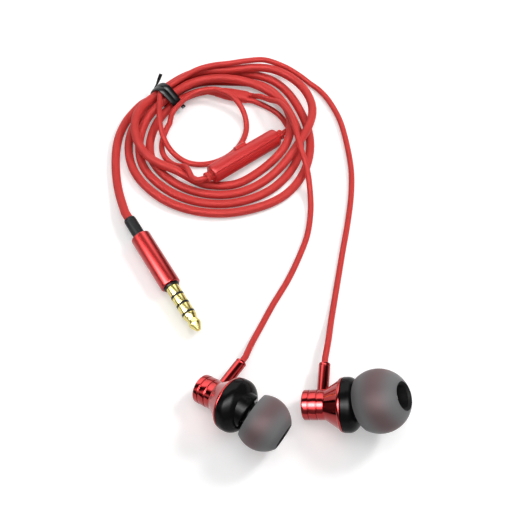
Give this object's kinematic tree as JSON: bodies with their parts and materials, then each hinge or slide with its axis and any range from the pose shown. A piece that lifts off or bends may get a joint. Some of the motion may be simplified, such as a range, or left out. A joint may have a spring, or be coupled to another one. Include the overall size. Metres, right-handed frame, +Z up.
{
  "type": "wired earphones",
  "caption": "Wired in-ear earphones with flared metal housings, rubber tips, an in-line remote pod and a coiled, tied cord ending in a straight round four-pole jack",
  "frame": {"origin": "Middle of the box round the two earbuds, on the surface they rest on.", "axes": "+X runs across the two earbuds from the left one to the right one, +Y runs from the earbuds to the coiled cord, +Z is up from the surface."},
  "size_m": [0.0769, 0.1151, 0.0182],
  "materials": {
    "cord_red": "satin thermoplastic elastomer cord jacket",
    "plug_red": "satin anodised red",
    "housing_red": "polished anodised red",
    "black_gloss": "glossy black moulding",
    "black_rubber": "soft black strain relief",
    "black_plastic": "black washer",
    "insulator_black": "black insulating bands",
    "contact_gold": "gold plated contacts",
    "grey_mould": "moulded core",
    "remote_red": "satin red moulding",
    "cord_grip": "soft red grips",
    "tie_black": "slightly glossy black tie",
    "board_green": "circuit board",
    "switch_steel": "pressed steel can",
    "mesh_steel": "fine steel mesh",
    "tip_silicone": "smoky translucent silicone",
    "driver_metal": "pressed driver parts",
    "magnet_grey": "plated magnet",
    "copper": "enamelled copper winding",
    "film": "thin polymer film"
  },
  "bodies": {
    "set": {"plug_lead": "cord_red", "main_coil": "cord_red", "left_cord": "cord_red", "remote_cord": "cord_red", "right_cord_coil": "cord_red", "right_cord_run": "cord_red", "barrel": "plug_red", "strain_relief": "black_rubber", "collar": "black_plastic", "inner_mould": "grey_mould", "jack_sleeve": "contact_gold", "jack_ring_2": "contact_gold", "jack_ring_1": "contact_gold", "jack_tip": "contact_gold", "jack_insulators": "insulator_black", "splitter": "remote_red", "twist_tie": "tie_black", "case_lower": "remote_red", "case_upper": "remote_red", "board": "board_green", "switch_body": "switch_steel", "mic": "switch_steel", "nub_left": "cord_grip", "nub_right": "cord_grip", "left_housing": "housing_red", "left_rear_cap": "housing_red", "left_front_shell": "black_gloss", "left_nozzle_mesh": "mesh_steel", "left_driver_frame": "driver_metal", "left_yoke": "driver_metal", "left_magnet": "magnet_grey", "left_terminal_board": "board_green", "left_stem": "housing_red", "left_stem_bush": "black_rubber", "right_housing": "housing_red", "right_rear_cap": "housing_red", "right_front_shell": "black_gloss", "right_nozzle_mesh": "mesh_steel", "right_driver_frame": "driver_metal", "right_yoke": "driver_metal", "right_magnet": "magnet_grey", "right_terminal_board": "board_green", "right_stem": "housing_red", "right_stem_bush": "black_rubber"},
    "remote_key": {"button": "remote_red", "switch_plunger": "insulator_black"},
    "left_tip": {"left_ear_tip": "tip_silicone"},
    "right_tip": {"right_ear_tip": "tip_silicone"},
    "left_cone": {"left_diaphragm": "film", "left_voice_coil": "copper"},
    "right_cone": {"right_diaphragm": "film", "right_voice_coil": "copper"}
  },
  "joints": [
    {"name": "remote_press", "type": "slide", "parent": "set", "child": "remote_key", "axis": [0.4551, -0.6833, -0.5709], "range_m": [0, 0.0003], "stiffness_N_per_m": 200},
    {"name": "left_tip_pull", "type": "slide", "parent": "set", "child": "left_tip", "axis": [0.8163, -0.5768, -0.0312], "range_m": [0, 0.008]},
    {"name": "right_tip_pull", "type": "slide", "parent": "set", "child": "right_tip", "axis": [0.7692, 0.003, 0.639], "range_m": [0, 0.008]},
    {"name": "left_cone_travel", "type": "slide", "parent": "set", "child": "left_cone", "axis": [0.7863, -0.4913, 0.3746], "range_m": [-0.00015, 0.00015], "stiffness_N_per_m": 500},
    {"name": "right_cone_travel", "type": "slide", "parent": "set", "child": "right_cone", "axis": [0.9589, -0.0671, 0.2756], "range_m": [-0.00015, 0.00015], "stiffness_N_per_m": 500}
  ]
}
